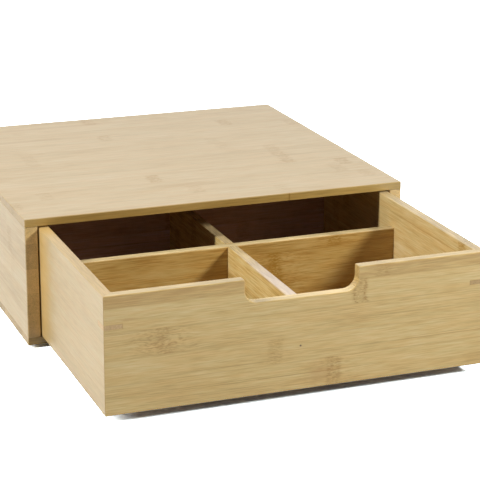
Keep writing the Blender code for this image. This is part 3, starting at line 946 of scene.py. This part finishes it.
# %% Make a key's film
def key_film(shape, low, high):
    """A three-cornered film with its tip at the drawer's corner and its long side across."""
    depth = key_depth - KEY_SET_BACK * ROOT_2
    made = bmesh.ops.create_circle(shape, cap_ends=True, segments=3, radius=1.0)["verts"]
    tip = max(made, key=lambda corner: corner.co.y)
    base = min(made, key=lambda corner: corner.co.y)
    height = tip.co.y - base.co.y
    half = max(corner.co.x for corner in made)
    bmesh.ops.translate(shape, vec=(0, -tip.co.y, low), verts=made)
    bmesh.ops.scale(shape, vec=(depth / half, depth / height, 1.0), verts=made)
    bmesh.ops.rotate(shape, matrix=Matrix.Rotation(math.pi / 2, 3, "Z"), verts=made)
    bmesh.ops.translate(shape, vec=(KEY_SET_BACK * ROOT_2, 0, 0), verts=made)
    face = made[0].link_faces[0]
    raised = bmesh.ops.extrude_face_region(shape, geom=[face], use_keep_orig=True)["geom"]
    lifted = [part for part in raised if isinstance(part, bmesh.types.BMVert)]
    bmesh.ops.translate(shape, vec=(0, 0, high - low), verts=lifted)
    return made + lifted


print("a key's film stays", in_mm(KEY_SET_BACK), "mm behind the drawer's faces")

# %% [markdown]
# ## Glue in the drawer's corners
# A film lies on the diagonal below, behind and above the key, and it stops short of the panel that
# is let into the walls. A bar of glue lies behind the key, between the two films on and under it. One
# corner's films are made at the origin, and then turned and moved to where they belong.

# %% Glue the drawer's corners
def corner_films(shape):
    """All films of one corner, with the corner at the origin and the drawer towards +X."""
    half = SEAM / 2 - AIR
    under = key_low.z - SEAM - AIR
    over = key_high.z + SEAM + AIR
    made = []
    for start, end, bottom, top in (
        (outer, panel_corner - SEAM, drawer_low.z + SET_BACK, under),
        (panel_corner - SEAM, inner, panel_top + SEAM, under),
        (key_depth + SEAM + AIR, inner, under, over),
        (outer, inner, over, drawer_high.z - SET_BACK),
    ):
        made += film(shape, (start, -half, bottom), (end, half, top))
    reach = key_depth - KEY_SET_BACK
    near, far = key_depth + AIR, key_depth + SEAM - AIR
    bar = film(shape, (near, -reach, key_low.z), (far, reach, key_high.z))
    for hand in (-1, 1):  # its ends lie in the walls' outer faces, which cross it aslant
        outside = [corner for corner in bar if corner.co.y * hand > 0]
        slanted = [corner for corner in outside if corner.co.x > key_depth + SEAM / 2]
        bmesh.ops.translate(shape, vec=(0, hand * (far - near), 0), verts=slanted)
    made += bar
    made += key_film(shape, key_low.z - SEAM + AIR, key_low.z - AIR)
    made += key_film(shape, key_high.z + AIR, key_high.z + SEAM - AIR)
    return made


films = bmesh.new()
for corner_x, corner_y, degrees in (
    (drawer_low.x, drawer_low.y, 45),
    (drawer_high.x, drawer_low.y, 135),
    (drawer_high.x, drawer_high.y, 225),
    (drawer_low.x, drawer_high.y, 315),
):
    made = corner_films(films)
    bmesh.ops.rotate(films, matrix=Matrix.Rotation(math.radians(degrees), 3, "Z"), verts=made)
    bmesh.ops.translate(films, vec=(corner_x, corner_y, 0), verts=made)
print("each corner has", len(films.faces) // 4, "faces of glue")

# %% [markdown]
# ## Glue around the dividers
# Each divider stands with its ends let into the walls, and the two cross at a halving joint. Glue
# shows beside and above each end, and at the crossing beside the board that passes through.

# %% Glue the dividers
EASED = 0.8 * MM  # radius of a divider's sanded upper edges


def end_films(shape, node, axis):
    """The films beside and above both ends of a divider that runs along an axis."""
    low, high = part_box(node)
    other = 1 - axis
    wall_low = drawer_low[axis] + WALL
    wall_high = drawer_high[axis] - WALL
    for start, end in ((low[axis], wall_low - SET_BACK), (wall_high + SET_BACK, high[axis])):
        for across_low, across_high, bottom, top in (
            (low[other] - SEAM + AIR, low[other] - AIR, low.z, high.z + SEAM - AIR),
            (high[other] + AIR, high[other] + SEAM - AIR, low.z, high.z + SEAM - AIR),
            (low[other], high[other], high.z + AIR, high.z + SEAM - AIR),
        ):
            film_low, film_high = [0, 0, bottom], [0, 0, top]
            film_low[axis], film_high[axis] = start, end
            film_low[other], film_high[other] = across_low, across_high
            film(shape, film_low, film_high)


end_films(films, "cross_divider", X)
end_films(films, "length_divider", Y)
cross_low, cross_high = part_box("cross_divider")
length_low, length_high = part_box("length_divider")
halfway = (cross_low.z + cross_high.z) / 2
for near in (cross_low.y - SEAM + AIR, cross_high.y + AIR):
    film(films, (length_low.x + SET_BACK, near, halfway + SEAM),
         (length_high.x - SET_BACK, near + SEAM - 2 * AIR, cross_high.z - EASED))
for near in (length_low.x - SEAM + AIR, length_high.x + AIR):
    film(films, (near, cross_low.y + SET_BACK, cross_low.z),
         (near + SEAM - 2 * AIR, cross_high.y - SET_BACK, halfway - SEAM))
glue_piece("drawer_glue_lines", films, "drawer")

# %% [markdown]
# ## Floor
# A seamless white sweep, so bright in the picture that only the deepest shadows are left on it. To
# the camera the floor is painted brighter than paper can be, and in the lacquer it shows white. To
# the light that bounces off it onto the bamboo it is a grey card, or every shadow would fill up.

# %% Make the floor
FLOOR_HALF = 8.0
FLOOR_SEEN = (2.75, 3.00, 3.05, 1.0)  # a little cool, against the bamboo's glow on it
FLOOR_MIRRORED = 1.2
FLOOR_PAPER = 0.25


def mirrored(tree):
    """1 where something is seen in a mirror or through glass, and 0 otherwise."""
    path = add(tree, "LightPath").outputs
    return add(tree, "Math", {0: path["Is Glossy Ray"], 1: path["Is Transmission Ray"]},
               operation="MAXIMUM")


def white_paper():
    """Paper that looks brighter than the light that it throws back."""
    material, tree = new_material("white_paper")
    level = add(tree, "MapRange", {"Value": mirrored(tree), "To Min": FLOOR_PAPER,
                                   "To Max": FLOOR_MIRRORED})
    grey = add(tree, "CombineColor", {"Red": level, "Green": level, "Blue": level})
    seen = add(tree, "LightPath").outputs["Is Camera Ray"]
    paper = add(tree, "Mix", {FACTOR: seen, UNDER: grey, OVER: FLOOR_SEEN}, data_type="RGBA")
    shader = add(tree, "BsdfDiffuse", {"Color": paper})
    add(tree, "OutputMaterial", {"Surface": shader})
    return material


floor_shape = bmesh.new()
bmesh.ops.create_grid(floor_shape, x_segments=1, y_segments=1, size=FLOOR_HALF)
floor = new_piece("floor", floor_shape, white_paper())
print("floor reaches", FLOOR_HALF, "m each way")

# %% [markdown]
# ## Light
# A small softbox stands to the right, in front and above: it throws the shadows inside the drawer.
# Straight to the left stands a tall, narrow strip box. It keeps the outer faces bright, and as it is
# so narrow, its light ends in a sharp upright line where the case's mouth cuts it off. A weak lamp
# on the right and one behind light what the camera doesn't see. None of them shows in the lacquer,
# where so small a lamp would burn a white spot: its sheen comes from the white room alone. Their
# strengths were worked out together, from how bright each face of the drawer is in the picture.

# %% Hang the lamps
Lamp = namedtuple("Lamp", "name azimuth elevation distance width height watts")

AIM = Vector((0.0, -0.05, 0.06))
LAMPS = [
    # Azimuth from straight in front to the right, and elevation, in degrees. Distance and size in m.
    Lamp("key_softbox", 40, 31, 1.9, 0.32, 0.32, 29.0),
    Lamp("right_softbox", 90, 55, 2.3, 0.4, 0.4, 5.0),
    Lamp("left_strip", -90, 32, 2.3, 0.15, 1.4, 53.0),
    Lamp("back_softbox", -140, 40, 2.3, 1.2, 1.2, 12.0),
]


def hang(lamp):
    """An oblong area lamp that faces the drawer."""
    light = bpy.data.lights.new(lamp.name, "AREA")
    light.shape = "RECTANGLE"
    light.size = lamp.width
    light.size_y = lamp.height
    light.energy = lamp.watts
    azimuth = math.radians(lamp.azimuth)
    elevation = math.radians(lamp.elevation)
    reach = math.cos(elevation)
    out = Vector((math.sin(azimuth) * reach, -math.cos(azimuth) * reach, math.sin(elevation)))
    facing = out.to_track_quat("Z", "Y").to_matrix().to_4x4()
    holder = bpy.data.objects.new(lamp.name, light)
    holder.matrix_world = Matrix.Translation(AIM + out * lamp.distance) @ facing
    holder.visible_glossy = False  # the lacquer mirrors the room and not the lamp
    bpy.context.scene.collection.objects.link(holder)


for lamp in LAMPS:
    hang(lamp)
print(len(LAMPS), "lamps,", sum(lamp.watts for lamp in LAMPS), "W in all")

# %% [markdown]
# ## The white room
# The world is white where the camera looks and where the lacquer mirrors it. As a light it is only a
# faint cool glow, so that the lamps model the drawer, its inside stays deep, and the shadow under it
# is a neutral grey in spite of the golden light that the bamboo throws there.

# %% Paint the room
ROOM_FILL = (0.012, 0.028, 0.065, 1.0)
ROOM_SEEN = (1.0, 1.0, 1.0, 1.0)

world = bpy.data.worlds.new("white_room")
bpy.context.scene.world = world
world.use_nodes = True
room = world.node_tree
room.nodes.clear()
seen = add(room, "LightPath").outputs["Is Camera Ray"]
seen = add(room, "Math", {0: seen, 1: mirrored(room)}, operation="MAXIMUM")
walls = add(room, "Mix", {FACTOR: seen, UNDER: ROOM_FILL, OVER: ROOM_SEEN}, data_type="RGBA")
background = add(room, "Background", {"Color": walls})
add(room, "OutputWorld", {"Surface": background})
bpy.context.scene.view_settings.view_transform = "Standard"
print("the room is white where it is seen")
